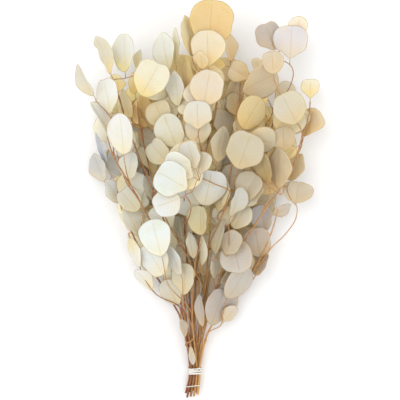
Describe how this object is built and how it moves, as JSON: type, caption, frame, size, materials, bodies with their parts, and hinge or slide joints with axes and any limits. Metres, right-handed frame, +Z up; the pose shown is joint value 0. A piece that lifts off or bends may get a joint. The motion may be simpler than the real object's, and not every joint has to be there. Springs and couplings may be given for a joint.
{
  "type": "tied bunch of preserved eucalyptus branches",
  "caption": "Tied bunch of bleached silver-dollar eucalyptus branches with round creamy leaves on thin brown stems, lying flat.",
  "frame": {"origin": "middle of the bunch's footprint, on the surface that it lies on", "axes": "+Y from the cut ends to the leafy tops, +Z up from the surface, +X to the right for somebody who looks down with the tops away from them"},
  "size_m": [0.2954, 0.4842, 0.1054],
  "materials": {
    "leaf": "matt, veined, cream with golden bases and grey edges",
    "bark": "satin caramel-brown bark",
    "tie": "matt cotton"
  },
  "bodies": {
    "root": {"branch_01_stem": "bark", "branch_02_stem": "bark", "branch_03_stem": "bark", "branch_04_stem": "bark", "branch_05_stem": "bark", "branch_06_stem": "bark", "branch_07_stem": "bark", "branch_08_stem": "bark", "branch_09_stem": "bark", "branch_10_stem": "bark", "branch_11_stem": "bark", "branch_12_stem": "bark", "branch_13_stem": "bark", "branch_14_stem": "bark", "branch_15_stem": "bark", "branch_16_stem": "bark", "branch_01_spray_1": "leaf", "branch_01_spray_2": "leaf", "branch_01_spray_3": "leaf", "branch_02_spray_1": "leaf", "branch_02_spray_2": "leaf", "branch_02_spray_3": "leaf", "branch_03_spray_1": "leaf", "branch_03_spray_2": "leaf", "branch_03_spray_3": "leaf", "branch_04_spray_1": "leaf", "branch_04_spray_2": "leaf", "branch_04_spray_3": "leaf", "branch_05_spray_1": "leaf", "branch_05_spray_2": "leaf", "branch_06_spray_1": "leaf", "branch_06_spray_2": "leaf", "branch_06_spray_3": "leaf", "branch_06_spray_4": "leaf", "branch_07_spray_1": "leaf", "branch_07_spray_2": "leaf", "branch_07_spray_3": "leaf", "branch_08_spray_1": "leaf", "branch_08_spray_2": "leaf", "branch_08_spray_3": "leaf", "branch_09_spray_1": "leaf", "branch_09_spray_2": "leaf", "branch_09_spray_3": "leaf", "branch_10_spray_1": "leaf", "branch_10_spray_2": "leaf", "branch_10_spray_3": "leaf", "branch_11_spray_1": "leaf", "branch_12_spray_1": "leaf", "branch_12_spray_2": "leaf", "branch_12_spray_3": "leaf", "branch_13_spray_1": "leaf", "branch_13_spray_2": "leaf", "branch_14_spray_1": "leaf", "branch_14_spray_2": "leaf", "branch_15_spray_1": "leaf", "branch_15_spray_2": "leaf", "branch_16_spray_1": "leaf", "branch_16_spray_2": "leaf", "tie_band": "tie", "tie_thread": "tie"}
  },
  "joints": []
}
